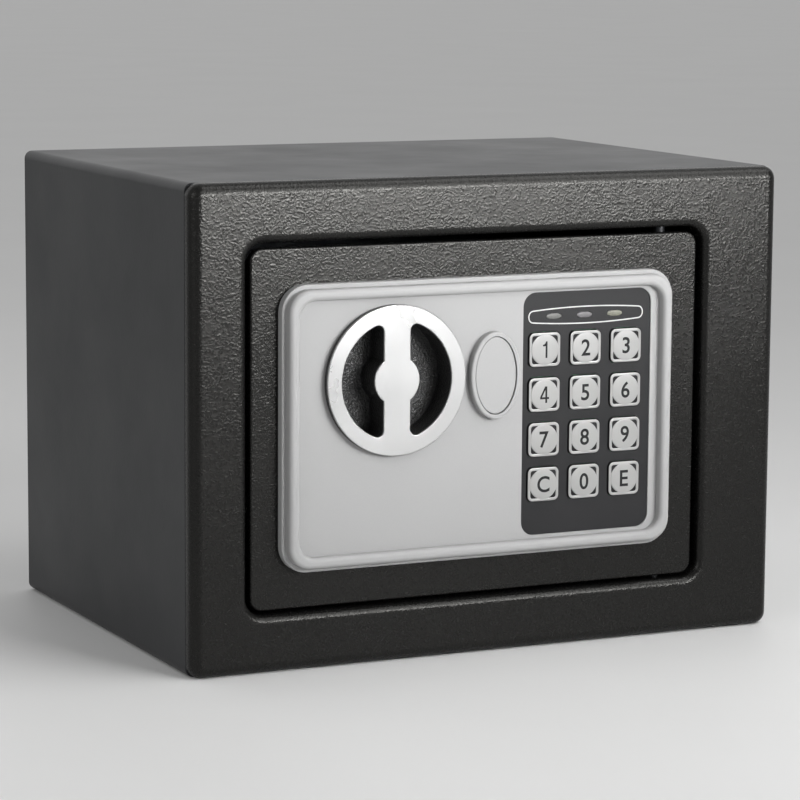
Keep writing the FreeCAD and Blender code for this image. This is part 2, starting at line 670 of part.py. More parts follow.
CUP_BACK = behind(dim.recess_floor + dim.cup_floor)
BRACKET_FRONT = CUP_BACK + dim.bracket_gap
CAM_FRONT = CUP_BACK + dim.cam_gap
CAM_BACK = CAM_FRONT + dim.carriage_sheet
CRANK_X = dim.knob_x + dim.bolt_travel / 2
CRANK_RISE = dim.crank_radius * math.sqrt(0.5)
CARRIAGE_FRONT = behind(dim.bolt_setback) - dim.carriage_sheet
CARRIAGE_BACK = behind(dim.bolt_setback)


def knob_spindle():
    """The spindle with its cam disc and the crank pin that drives the bolts."""
    shaft = rod("spindle_shaft", "y", KNOB_AXIS, dim.spindle_radius, (CUP_BACK, CAM_FRONT))
    disc = rod("spindle_disc", "y", KNOB_AXIS, dim.cam_radius, (CAM_FRONT, CAM_BACK))
    pin = rod("crank_pin", "y", (CRANK_X, dim.knob_z + CRANK_RISE), dim.crank_pin_radius,
              (CAM_BACK, CARRIAGE_BACK + 2))
    return node("knob_spindle", fuse("spindle", shaft, disc, pin))


def cam_screw():
    """The screw that holds the spindle's cam disc to the knob."""
    return node("cam_screw", rod("cam_screw_head", "y", KNOB_AXIS, dim.cam_screw_radius,
                                 (CAM_BACK, CAM_BACK + 2)))


def knob_bracket():
    """The bridge behind the door plate that the spindle turns in."""
    sheet = dim.frame_sheet
    reach = dim.cup_radius + sheet * 1.8
    back = BRACKET_FRONT + sheet
    x = (dim.knob_x - reach, dim.knob_x + reach)
    bridge = block("bridge_web", x, (BRACKET_FRONT, back),
                   (dim.knob_z - reach - sheet, dim.knob_z + reach + sheet))
    leg_heights = (dim.knob_z - reach - sheet, dim.knob_z + reach)
    legs = [block(f"bridge_leg_{n}", x, (DOOR_BACK, BRACKET_FRONT), (low, low + sheet))
            for n, low in enumerate(leg_heights)]
    bore = rod("bridge_bore", "y", KNOB_AXIS, dim.spindle_radius + dim.running_fit,
               (BRACKET_FRONT - 1, back + 1))
    return node("knob_bracket", cut("bridge", fuse("bridge_blank", bridge, *legs), bore))


# ---------------------------------------------------------------- bolt work

EAR_X = dim.bolt_tip_x + dim.bolt_length
STOP_TOP = dim.solenoid_z - 10
ARM_TOP = STOP_TOP - dim.plunger_travel - 0.5


def bolt_carriage():
    """The sliding plate: a crank slot at the top, ears for the bolts, and an arm for the stop."""
    pin_low = dim.knob_z + CRANK_RISE
    pin_high = dim.knob_z + dim.crank_radius
    play = dim.crank_pin_radius + dim.slot_play
    slot_x = (CRANK_X - play, CRANK_X + play)
    slot_z = (pin_low - play, pin_high + play)
    strip_right = EAR_X + 12
    arm_low = dim.bolt_low_z - 9
    tip = dim.solenoid_x + dim.bolt_travel + dim.stop_gap * 2
    bolt_top = dim.bolt_top_z + dim.bolt_radius + 2
    depth = (CARRIAGE_FRONT, CARRIAGE_BACK)
    press = Pressing("bolt_carriage")
    outline = polygon(
        (EAR_X, arm_low), (tip, arm_low), (tip, ARM_TOP), (strip_right, ARM_TOP),
        (strip_right, slot_z[0] - 4), (slot_x[1] + 3.5, slot_z[0] - 4),
        (slot_x[1] + 3.5, slot_z[1] + 4), (strip_right, slot_z[1] + 4), (strip_right, bolt_top),
        (EAR_X, bolt_top))
    press.pad(outline, depth)
    press.pocket(rectangle(slot_x, slot_z), depth)
    ear_y = (CARRIAGE_BACK - dim.bolt_radius, CARRIAGE_BACK + dim.bolt_radius)
    ears = [block(f"carriage_ear_{n}", (EAR_X, EAR_X + dim.carriage_sheet), ear_y,
                  (z - dim.bolt_radius, z + dim.bolt_radius)) for n, z in enumerate(BOLT_HEIGHTS)]
    return node("bolt_carriage", fuse("carriage", press.body, *ears))


def bolt_stop():
    """The block on the carriage's arm that the dropped plunger catches on either side."""
    x = (dim.solenoid_x + dim.stop_gap, dim.solenoid_x + dim.bolt_travel - dim.stop_gap)
    return node("bolt_stop", block("stop_block", x, (CARRIAGE_FRONT - 1, CARRIAGE_BACK + 1),
                                   (ARM_TOP, STOP_TOP)))


def locking_bolt(name, height):
    """A round bolt with a chamfered tip, riveted to the carriage's ear."""
    bar = rod(f"{name}_bar", "x", (CARRIAGE_BACK, height), dim.bolt_radius, (dim.bolt_tip_x, EAR_X))
    doc.recompute()
    tip = dim.bolt_tip_x.value
    edges = edges_where(bar.Shape, lambda limits: limits.XMax < tip + 0.01)
    chamfer = doc.addObject("Part::Chamfer", f"{name}_tip")
    chamfer.Base = bar
    chamfer.Edges = [(int(edge[4:]), 1.2, 1.2) for edge in edges]
    return node(name, chamfer)


def bolt_guide_bracket():
    """An angle on the door's back edge that the bolts slide through."""
    left = dim.opening_x - dim.door_width / 2 + 1.5
    flange_x = (left + 5, left + 7)
    z = (dim.bolt_low_z - 11, dim.bolt_top_z + 11)
    foot = block("guide_foot", (left, flange_x[0]), (DOOR_BACK, DOOR_BACK + 2), z)
    flange = block("guide_flange", flange_x, (DOOR_BACK, CARRIAGE_BACK + dim.bolt_radius + 2), z)
    holes = [rod(f"guide_hole_{n}", "x", (CARRIAGE_BACK, height), dim.bolt_radius + dim.running_fit,
                 (flange_x[0] - 1, flange_x[1] + 1)) for n, height in enumerate(BOLT_HEIGHTS)]
    return node("bolt_guide_bracket", cut("guide", fuse("guide_blank", foot, flange), *holes))


# ---------------------------------------------------------------- solenoid and override lock

PLUNGER_AXIS = (dim.solenoid_x, behind(dim.plunger_setback))
SOLENOID_TOP = dim.solenoid_z + dim.solenoid_height
SOLENOID_Y = (BRACKET_FRONT + dim.frame_sheet, behind(dim.works_setback))
FLANGE_LOW = dim.solenoid_z - 4.5


def solenoid():
    """The solenoid's bent frame and the coil inside it."""
    half = dim.solenoid_width / 2
    x = (dim.solenoid_x - half, dim.solenoid_x + half)
    wall = dim.carriage_sheet
    shell = block("solenoid_block", x, SOLENOID_Y, (dim.solenoid_z, SOLENOID_TOP))
    window = block("solenoid_window", (x[0] + wall, x[1] + 1), (SOLENOID_Y[0] - 1, SOLENOID_Y[1] + 1),
                   (dim.solenoid_z + wall, SOLENOID_TOP - wall))
    bore = rod("solenoid_bore", "z", PLUNGER_AXIS, dim.plunger_radius + 0.3,
               (dim.solenoid_z - 1, SOLENOID_TOP + 1))
    node("solenoid_frame", cut("solenoid_bent_frame", shell, window, bore))
    coil = rod("coil_winding", "z", PLUNGER_AXIS, dim.plunger_radius * 1.8,
               (dim.solenoid_z + wall, SOLENOID_TOP - wall))
    coil_bore = rod("coil_bore", "z", PLUNGER_AXIS, dim.plunger_radius + 0.3,
                    (dim.solenoid_z, SOLENOID_TOP))
    node("solenoid_coil", cut("coil", coil, coil_bore))


def solenoid_plunger():
    """The plunger, drawn up: locking tip, spring flange, core and the collar on top."""
    collar_low = SOLENOID_TOP + dim.plunger_travel + 0.5
    core = rod("plunger_core", "z", PLUNGER_AXIS, dim.plunger_radius, (FLANGE_LOW + 1, collar_low))
    flange = rod("plunger_flange", "z", PLUNGER_AXIS, dim.plunger_radius * 1.6,
                 (FLANGE_LOW, FLANGE_LOW + 1))
    tip = rod("plunger_tip", "z", PLUNGER_AXIS, dim.plunger_tip_radius,
              (STOP_TOP + dim.plunger_lift, FLANGE_LOW))
    collar = rod("plunger_collar", "z", PLUNGER_AXIS, dim.plunger_radius * 1.5,
                 (collar_low, collar_low + 2))
    return node("solenoid_plunger", fuse("plunger", core, flange, tip, collar))


def plunger_spring():
    """The return spring, fully compressed between the solenoid and the plunger's flange."""
    coils = []
    for turn in range(3):
        coil = doc.addObject("Part::Torus", f"spring_coil_{turn}")
        bind(coil, Radius1=dim.plunger_radius + 1.1, Radius2=dim.spring_wire)
        move(coil, PLUNGER_AXIS[0], PLUNGER_AXIS[1], FLANGE_LOW + 1.9 + dim.spring_wire * (1.8 * turn))
        coils.append(coil)
    return node("plunger_spring", fuse("spring", *coils))


def override_lock():
    """The emergency key lock: body, nut, turning plug and the cam on its end."""
    body_front = behind(-0.3)
    body_back = behind(dim.works_setback)
    body = rod("lock_barrel", "y", LOCK_AXIS, dim.lock_radius, (body_front, body_back))
    bore = rod("lock_bore", "y", LOCK_AXIS, dim.plug_radius + dim.running_fit,
               (body_front - 1, body_back + 1))
    node("lock_cylinder_body", cut("lock_barrel_bored", body, bore))
    nut = doc.addObject("Part::Prism", "nut_hexagon")
    nut.Polygon = 6
    bind(nut, Circumradius=dim.lock_radius * 1.5, Height=dim.nut_height)
    move(nut, LOCK_AXIS[0], DOOR_BACK, LOCK_AXIS[1], TURN_TO_Y)
    nut_bore = rod("nut_bore", "y", LOCK_AXIS, dim.lock_radius,
                   (DOOR_BACK - 1, DOOR_BACK + dim.nut_height + 1))
    node("cylinder_nut", cut("nut", nut, nut_bore))
    cam_front = body_back + dim.cam_play
    cam_back = cam_front + dim.cam_sheet
    plug = rod("plug_bar", "y", LOCK_AXIS, dim.plug_radius, (body_front, cam_front))
    keyway = block("keyway", (dim.lock_x - 0.6, dim.lock_x + 0.6), (body_front - 1, behind(12)),
                   (dim.lock_z - 3.2, dim.lock_z + 2.4))
    node("lock_cylinder_plug", cut("plug", plug, keyway))
    lever = block("cam_lever", (dim.lock_x - 3.5, dim.lock_x + 3.5), (cam_front, cam_back),
                  (dim.lock_z - 13, dim.lock_z + 4))
    return node("override_cam", lever)


def key_cover():
    """The oval cap over the keyhole, with a plug that holds it in the boss."""
    top = behind(-dim.oval_rise + dim.cap_recess)
    back = top + dim.cap_sheet
    cap = oval("cap_face", LOCK_AXIS, dim.cap_width, dim.cap_height, (top, back))
    skirt = oval("cap_skirt", LOCK_AXIS, dim.cap_width - 1.2, dim.cap_height - 2, (back, back + 1))
    return node("key_cover", soften("cap_soft", fuse("cap", cap, skirt), in_plane(top), dim.oval_edge / 2))


# ---------------------------------------------------------------- rear cover and batteries

BATTERY_RIGHT = dim.battery_left + dim.cell_length + dim.box_wall * 2 + 3
BATTERY_TOP = dim.battery_low + dim.box_wall * 2 + dim.cell_pitch * 4
CELL_AXIS_Y = behind(dim.battery_setback) + dim.box_wall + dim.cell_radius + 0.2
CELL_HEIGHTS = [dim.battery_low + dim.box_wall + dim.cell_pitch * (n + 0.5) for n in range(4)]
HATCH_X = (dim.battery_left + 1.5, BATTERY_RIGHT - 1.5)
HATCH_Z = (dim.battery_low + 2, BATTERY_TOP - 2)
COVER_INSIDE = COVER_BACK - dim.cover_sheet


def rear_cover():
    """The sheet-metal tray over the lock works, with battery hatch, reset hole and bolt holes."""
    wall = dim.cover_sheet
    x, z = (dim.cover_left, dim.cover_right), (dim.cover_low, dim.cover_top)
    middle = ((x[0] + x[1]) / 2, (z[0] + z[1]) / 2)
    width, height = x[1] - x[0], z[1] - z[0]
    press = Pressing("rear_cover")
    inner_corner = dim.cover_corner - wall
    press.pad(rounded_rectangle(middle, width, height, dim.cover_corner), (DOOR_BACK, COVER_BACK))
    press.round(in_plane(COVER_BACK), inner_corner)
    press.pad(rectangle((x[0] + 6, x[1] - 6), (z[0] - dim.cover_flange, z[1] + dim.cover_flange)),
              (DOOR_BACK, DOOR_BACK + wall))
    press.pocket(rounded_rectangle(middle, width - wall * 2, height - wall * 2, inner_corner),
                 (DOOR_BACK, COVER_INSIDE))
    press.pocket(rectangle(HATCH_X, HATCH_Z), (COVER_INSIDE, COVER_BACK))
    press.pocket(circles(dim.reset_radius + 0.5, (dim.reset_x, dim.reset_z)), (COVER_INSIDE, COVER_BACK))
    press.pocket(circles(dim.cover_screw_radius, *SCREW_PLACES), (DOOR_BACK, DOOR_BACK + wall))
    holes = [rod(f"cover_hole_{n}", "x", (behind(dim.bolt_setback), height), dim.bolt_radius + 0.8,
                 (x[0] - 1, x[0] + wall + 1)) for n, height in enumerate(BOLT_HEIGHTS)]
    return node("rear_cover", cut("cover_tray", press.body, *holes))


def screws(name, places, tip_y, seat_y, head_radius, shank_radius):
    """A group of pan-head screws along Y, their heads behind the seat."""
    items = []
    for n, place in enumerate(places):
        head = rod(f"{name}_head_{n}", "y", place, head_radius, (seat_y, seat_y + dim.screw_head_height))
        shank = rod(f"{name}_shank_{n}", "y", place, shank_radius, (tip_y, seat_y))
        items.append(fuse(f"{name}_{n}", head, shank))
    return node(name, group(f"{name}_group", *items))


def battery_box():
    """The open tray that holds four cells behind the door."""
    y = (behind(dim.battery_setback), COVER_INSIDE)
    x, z = (dim.battery_left, BATTERY_RIGHT), (dim.battery_low, BATTERY_TOP)
    wall = dim.box_wall
    tray = block("battery_tray", x, y, z)
    space = block("battery_space", (x[0] + wall, x[1] - wall), (y[0] + wall, y[1] + 1),
                  (z[0] + wall, z[1] - wall))
    return node("battery_box", cut("battery_holder", tray, space))


def batteries():
    """Four cells lying side by side, and the contact plates at their ends."""
    left = dim.battery_left + dim.box_wall
    right = BATTERY_RIGHT - dim.box_wall - dim.contact_sheet
    start = left + 1.5
    end = start + dim.cell_length
    cells = []
    plates = []
    for n, height in enumerate(CELL_HEIGHTS):
        axis = (CELL_AXIS_Y, height)
        can = rod(f"cell_can_{n}", "x", axis, dim.cell_radius, (start, end - 1.5))
        button = rod(f"cell_button_{n}", "x", axis, dim.cell_button, (end - 1.5, end))
        cells.append(fuse(f"cell_{n}", can, button))
        for side, edge in (("low", left), ("high", right)):
            plates.append(block(f"contact_{side}_{n}", (edge, edge + dim.contact_sheet),
                                (CELL_AXIS_Y - 4.5, CELL_AXIS_Y + 4.5), (height - 5, height + 5)))
    node("aa_cells", group("cells", *cells))
    node("battery_contacts", group("contacts", *plates))


def battery_cover():
    """The lift-off lid over the battery hatch, with a rib that drops into it."""
    gap = dim.lid_gap
    face = COVER_BACK + gap
    lid = block("lid_sheet", (HATCH_X[0] - 3, HATCH_X[1] + 3), (face, face + dim.lid_sheet),
                (HATCH_Z[0] - 2.5, HATCH_Z[1] + 2.5))
    rib = block("lid_rib", (HATCH_X[0] + gap, HATCH_X[1] - gap), (COVER_INSIDE + gap, face),
                (HATCH_Z[0] + gap, HATCH_Z[1] - gap))
    return node("battery_cover", fuse("lid", lid, rib))


def reset():
    """The red code-reset button and the board behind it."""
    board_y = (behind(dim.circuit_setback), behind(dim.circuit_setback + dim.circuit_sheet))
    node("control_board", block("control_circuit", (dim.reset_x - 20, dim.cover_right - dim.cover_sheet),
                                board_y, (dim.reset_z - 22, dim.reset_z + 18)))
    return node("reset_button", rod("reset_stem", "y", (dim.reset_x, dim.reset_z), dim.reset_radius,
                                    (board_y[1] + 2.1, COVER_BACK + 2.5)))


# ---------------------------------------------------------------- assembly

def build():
    body_shell()
    back_panel()
    front_frame()
    top = dim.opening_z + dim.opening_height / 2
    bottom = dim.opening_z - dim.opening_height / 2
    for name, level, up in (("upper", top, 1), ("lower", bottom, -1)):
        hinge_bracket(f"hinge_bracket_{name}", level, up)
        hinge_pin(f"hinge_pin_{name}", level, up)
    strike_bracket()
    floor_mat()

    door_plate()
    door_half = dim.door_height / 2
    door_hinge_tab("door_hinge_tab_upper", dim.door_z + door_half - dim.tab_height - 0.3)
    door_hinge_tab("door_hinge_tab_lower", dim.door_z - door_half + 0.3)
    control_panel()
    keypad_plate()
    for colour, place in lamp_places():
        lamp(colour, place)
    keypad_board()
    for name, place in key_places():
        key(name, place)

    knob()
    knob_face()
    knob_spindle()
    cam_screw()
    knob_bracket()
    bolt_carriage()
    bolt_stop()
    locking_bolt("locking_bolt_upper", dim.bolt_top_z)
    locking_bolt("locking_bolt_lower", dim.bolt_low_z)
    bolt_guide_bracket()
    solenoid()
    solenoid_plunger()
    plunger_spring()
    override_lock()
    key_cover()

    rear_cover()
    screws("rear_cover_screws", SCREW_PLACES, DOOR_FACE + dim.screw_skin, DOOR_BACK + dim.cover_sheet,
           dim.cover_screw_head, dim.cover_screw_radius)
    screws("panel_screws", PANEL_SCREW_PLACES, behind(0.2), DOOR_BACK,
           dim.panel_screw_head, dim.panel_screw_radius)
    battery_box()
    batteries()
    battery_cover()
    reset()


build()
check_document()
os.makedirs("parts", exist_ok=True)
for name, item in nodes.items():
    shape = item.Shape
    if shape.isNull() or not shape.isValid() or not shape.Solids:
        raise RuntimeError(f"{name} has no sound solid")
    shape.exportStep(f"parts/{name}.step")
    print(f"{name:24s} {shape.Volume:10.1f} mm3, {len(shape.Solids)} solid(s)")
print(len(nodes), "nodes")
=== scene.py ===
import json
import math

import bmesh
import bpy
from mathutils import Matrix, Vector


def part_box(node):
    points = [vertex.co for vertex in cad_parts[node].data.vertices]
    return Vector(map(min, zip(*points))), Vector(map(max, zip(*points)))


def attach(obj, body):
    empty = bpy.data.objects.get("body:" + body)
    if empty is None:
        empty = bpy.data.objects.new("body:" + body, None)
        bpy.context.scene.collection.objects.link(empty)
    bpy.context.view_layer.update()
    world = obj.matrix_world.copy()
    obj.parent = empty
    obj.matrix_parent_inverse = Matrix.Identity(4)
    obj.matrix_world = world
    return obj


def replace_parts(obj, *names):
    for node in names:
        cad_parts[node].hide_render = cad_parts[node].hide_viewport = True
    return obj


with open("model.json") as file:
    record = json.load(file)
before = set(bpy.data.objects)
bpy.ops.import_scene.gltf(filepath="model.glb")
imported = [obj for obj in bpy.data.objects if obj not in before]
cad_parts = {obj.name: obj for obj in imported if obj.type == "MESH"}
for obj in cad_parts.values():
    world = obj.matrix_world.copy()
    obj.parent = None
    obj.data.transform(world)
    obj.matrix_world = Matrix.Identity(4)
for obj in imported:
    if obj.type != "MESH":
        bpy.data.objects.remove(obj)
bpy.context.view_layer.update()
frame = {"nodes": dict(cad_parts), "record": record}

# The looks of a small electronic home safe. Metres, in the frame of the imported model: +Z up,
# the door faces -Y, and the floor is at Z = 0.

MM = 0.001
NODES = frame["nodes"]
KEY_LEGENDS = {legend.lower(): legend for legend in "123456789C0E"}
LAMP_COLOURS = ("yellow", "green", "red")

# printing on the keys
LEGEND_HEIGHT = 5.9 * MM
LEGEND_THICKNESS = 0.03 * MM
LEGEND_NARROWING = 0.95
LEGEND_BOLDNESS = 0.015

# an inset outline never shrinks below these
LEAST_RADIUS = 0.05 * MM
LEAST_HALF = 0.02 * MM
SMALL = 1e-6

# edges sharper than these angles, in degrees, stay crisp
NODE_CREASE = 30
GLYPH_CREASE = 30
PIECE_CREASE = 32

# round outlines with as many points can be joined to each other
ROUND_POINTS = 48

# between these values lies most of a soft noise
NOISE_LOW = 0.3
NOISE_HIGH = 0.7

# the camera: azimuth from the front, elevation and roll in degrees; metres; lens and sensor in millimetres
CAMERA_ANGLES = (-25.502, 8.398, 0.379)
CAMERA_DISTANCE = 1.2261
CAMERA_TARGET = (3.474 * MM, 2.25 * MM, 78.842 * MM)
CAMERA_LENS = 146.42
CAMERA_SENSOR = 36.0
CAMERA_RANGE = (0.05, 20.0)

# the room's brightness along an axis of view: where the fade starts and ends, and its value at each end
ROOM_FADES = (
    ("Y", -0.3, 0.8, 0.30, 0.9),
    ("Z", 0.0, 0.5, 0.8, 1.0),
)

# soft boxes: name, place, the point aimed at, width and height, power in watts, spread in degrees
AREA_LIGHTS = (
    ("overhead", (0.36, -0.28, 0.80), (0.0, -0.05, 0.14), (0.42, 0.45), 2.4, 180),
    ("front_strip", (0.21, -0.60, 0.20), (0.0, -0.08, 0.18), (0.36, 0.06), 0.45, 55),
    ("front_box", (0.30, -0.66, 0.46), (0.0, -0.08, 0.14), (0.42, 0.36), 2.6, 180),
    ("left_box", (-0.85, -0.45, 0.42), (0.0, -0.05, 0.08), (0.5, 0.4), 1.8, 180),
)


# ---------------------------------------------------------------- shader nodes

class Look:
    """A procedural material under construction, in the object's own coordinates."""

    def __init__(self, name, color, roughness, metallic=0.0, **fixed):
        self.material = bpy.data.materials.new(name)
        self.material.use_nodes = True
        self.tree = self.material.node_tree
        self.shader = self.tree.nodes["Principled BSDF"]
        self.shader.inputs["Base Color"].default_value = (*color, 1.0)
        self.shader.inputs["Roughness"].default_value = roughness
        self.shader.inputs["Metallic"].default_value = metallic
        for socket, value in fixed.items():
            self.shader.inputs[socket.replace("_", " ")].default_value = value
        self.place = self.add("ShaderNodeTexCoord").outputs["Object"]

    def add(self, kind, **settings):
        node = self.tree.nodes.new(kind)
        for key, value in settings.items():
            setattr(node, key, value)
        return node

    def wire(self, source, target):
        """Feed a socket from another socket, or give it a plain value."""
        if isinstance(source, bpy.types.NodeSocket):
            self.tree.links.new(source, target)
        else:
            target.default_value = source

    def math(self, operation, a, b):
        node = self.add("ShaderNodeMath", operation=operation)
        self.wire(a, node.inputs[0])
        self.wire(b, node.inputs[1])
        return node.outputs[0]

    def stretch(self, scale):
        """The object's coordinates with each axis scaled."""
        node = self.add("ShaderNodeMapping")
        self.wire(self.place, node.inputs["Vector"])
        node.inputs["Scale"].default_value = scale
        return node.outputs[0]

    def noise(self, size, detail=2.0, roughness=0.5, distortion=0.0, where=None):
        """Soft noise with features about this large, in metres."""
        node = self.add("ShaderNodeTexNoise")
        self.wire(where or self.place, node.inputs["Vector"])
        node.inputs["Scale"].default_value = 1.0 / size
        node.inputs["Detail"].default_value = detail
        node.inputs["Roughness"].default_value = roughness
        node.inputs["Distortion"].default_value = distortion
        return node

    def cells(self, size, where):
        """Voronoi cells about this large, in metres, as the distance from their edges."""
        node = self.add("ShaderNodeTexVoronoi", feature="DISTANCE_TO_EDGE")
        self.wire(where, node.inputs["Vector"])
        node.inputs["Scale"].default_value = 1.0 / size
        return node.outputs["Distance"]

    def spread(self, source, low, high, out_low, out_high, ramp="LINEAR"):
        """A value's low to high range stretched to another range."""
        node = self.add("ShaderNodeMapRange", interpolation_type=ramp)
        self.wire(source, node.inputs["Value"])
        for name, value in zip(("From Min", "From Max", "To Min", "To Max"), (low, high, out_low, out_high)):
            node.inputs[name].default_value = value
        return node.outputs["Result"]

    def blend(self, factor, color_a, color_b):
        """A colour between two others."""
        node = self.add("ShaderNodeMix", data_type="RGBA")
        self.wire(factor, node.inputs["Factor"])
        for socket, color in (("A", color_a), ("B", color_b)):
            target = next(i for i in node.inputs if i.name == socket and i.type == "RGBA")
            self.wire(color if isinstance(color, bpy.types.NodeSocket) else (*color, 1.0), target)
        return next(o for o in node.outputs if o.type == "RGBA")

    def color(self, source):
        self.wire(source, self.shader.inputs["Base Color"])

    def rough(self, source):
        self.wire(source, self.shader.inputs["Roughness"])

    def bump(self, height, depth):
        """Relief of this depth in metres."""
        node = self.add("ShaderNodeBump")
        node.inputs["Strength"].default_value = 1.0
        node.inputs["Distance"].default_value = depth
        self.wire(height, node.inputs["Height"])
        self.wire(node.outputs["Normal"], self.shader.inputs["Normal"])

    def uneven(self, patch, roughness, less, more):
        """Roughness that wanders with a patchy noise, from less below its mean to more above it."""
        self.rough(self.spread(patch, NOISE_LOW, NOISE_HIGH, roughness - less, roughness + more))

    def mix(self, a, share_a, b, share_b):
        """Two values, each times its share, added."""
        return self.math("ADD", self.math("MULTIPLY", a, share_a), self.math("MULTIPLY", b, share_b))


def scaled(color, factor):
    """A darker or lighter version of a colour."""
    return tuple(c * factor for c in color)


def grain_paint(name, color, size, depth, roughness, contrast=0.5, **fixed):
    """Black powder coat with a leather grain: soft meandering wrinkles over shallow pebbles."""
    look = Look(name, color, roughness, **fixed)
    warp = look.add("ShaderNodeVectorMath", operation="SCALE")
    look.wire(look.noise(size * 2.0, detail=1.0).outputs["Color"], warp.inputs[0])
    warp.inputs["Scale"].default_value = size
    bent = look.add("ShaderNodeVectorMath", operation="ADD")
    look.wire(look.place, bent.inputs[0])
    look.wire(warp.outputs[0], bent.inputs[1])
    place = bent.outputs[0]
    pebbles = look.spread(look.cells(size, where=place), 0.0, 0.45, 0.0, 1.0, "SMOOTHSTEP")
    fold = look.noise(size * 0.5, detail=1.5, roughness=0.35, distortion=0.2, where=place).outputs["Fac"]
    wrinkle = look.spread(fold, 0.28, 0.72, 0.0, 1.0)
    look.bump(look.mix(wrinkle, 0.7, pebbles, 0.3), depth)
    patch = look.noise(30 * MM, detail=3.0).outputs["Fac"]
    tone = look.mix(wrinkle, contrast, patch, 0.5)
    look.color(look.blend(tone, scaled(color, 0.7), scaled(color, 1.35)))
    look.rough(look.spread(look.math("ADD", patch, wrinkle), 0.2, 1.6, roughness + 0.07, roughness - 0.06))
    return look.material


def satin_paint(name, color, roughness, **fixed):
    """Smooth satin powder coat with a faint orange-peel texture."""
    look = Look(name, color, roughness, **fixed)
    look.bump(look.noise(1.1 * MM).outputs["Fac"], depth=0.025 * MM)
    fine = look.noise(0.4 * MM, detail=1.0).outputs["Fac"]
    patch = look.noise(50 * MM, detail=4.0, roughness=0.6).outputs["Fac"]
    look.color(look.blend(look.mix(fine, 0.5, patch, 0.5), scaled(color, 0.82), scaled(color, 1.18)))
    look.uneven(patch, roughness, 0.04, 0.05)
    return look.material


def silver_plastic(name, color, roughness, metallic, flake=0.06, relief=0.002 * MM, **fixed):
    """Silver-painted plastic: fine metal flake under a satin skin."""
    look = Look(name, color, roughness, metallic, **fixed)
    flakes = look.noise(0.22 * MM, detail=1.0).outputs["Fac"]
    patch = look.noise(20 * MM, detail=3.0).outputs["Fac"]
    tone = look.mix(flakes, 0.7, patch, 0.3)
    look.color(look.blend(tone, scaled(color, 1.0 - flake), scaled(color, 1.0 + flake)))
    look.uneven(patch, roughness, 0.03, 0.04)
    look.bump(flakes, relief)
    return look.material


def plain_plastic(name, color, roughness, grain=0.8 * MM, depth=0.02 * MM, **fixed):
    """Moulded plastic with a fine spark-eroded texture."""
    look = Look(name, color, roughness, **fixed)
    fine = look.noise(grain, roughness=0.6).outputs["Fac"]
    patch = look.noise(15 * MM, detail=3.0).outputs["Fac"]
    look.bump(fine, depth)
    look.color(look.blend(look.mix(fine, 0.4, patch, 0.6), scaled(color, 0.85), scaled(color, 1.15)))
    look.uneven(patch, roughness, 0.05, 0.05)
    return look.material


def metal(name, color, roughness, brush, spangle=0.1):
    """Bare or plated metal with brushing along the axis whose scale is smallest."""
    look = Look(name, color, roughness, metallic=1.0)
    lines = look.noise(0.6 * MM, detail=3.0, roughness=0.6, where=look.stretch(brush)).outputs["Fac"]
    patch = look.noise(6 * MM, detail=3.0, roughness=0.6).outputs["Fac"]
    tone = look.mix(lines, 0.4, patch, 0.6)
    look.color(look.blend(tone, scaled(color, 1.0 - spangle), scaled(color, 1.0 + spangle)))
    look.rough(look.spread(look.math("ADD", lines, patch), 0.7, 1.3, roughness - 0.06, roughness + 0.1))
    look.bump(lines, depth=0.008 * MM)
    return look.material


def felt(name, color):
    """Needle felt: short tangled fibres with a soft sheen."""
    look = Look(name, color, roughness=0.95, Sheen_Weight=0.35, Sheen_Roughness=0.6)
    fibres = look.noise(0.7 * MM, detail=4.0, roughness=0.75, distortion=2.5).outputs["Fac"]
    clumps = look.noise(4 * MM, detail=3.0, roughness=0.6).outputs["Fac"]
    look.bump(look.mix(fibres, 1.0, clumps, 0.6), depth=0.5 * MM)
    look.color(look.blend(fibres, scaled(color, 0.5), scaled(color, 2.2)))
    return look.material


def circuit_board(name, color, track_color):
    """Solder resist with paler tracks under it."""
    look = Look(name, color, roughness=0.32)
    tracks = look.cells(6 * MM, where=look.stretch((1.0, 1.0, 0.6)))
    line = look.math("LESS_THAN", tracks, 0.05)
    look.color(look.blend(line, color, track_color))
    look.bump(line, depth=0.03 * MM)
    look.uneven(look.noise(4 * MM).outputs["Fac"], 0.32, 0.04, 0.08)
    return look.material


def lamp_lens(name, color):
    """An unlit coloured lens, a little cloudy."""
    look = Look(name, color, roughness=0.4, Specular_IOR_Level=0.25, Coat_Weight=0.1, Coat_Roughness=0.2)
    cloud = look.noise(1.2 * MM, detail=3.0, roughness=0.6).outputs["Fac"]
    look.color(look.blend(cloud, scaled(color, 0.6), scaled(color, 1.4)))
    look.uneven(cloud, 0.4, 0.04, 0.08)
    look.bump(cloud, depth=0.01 * MM)
    return look.material


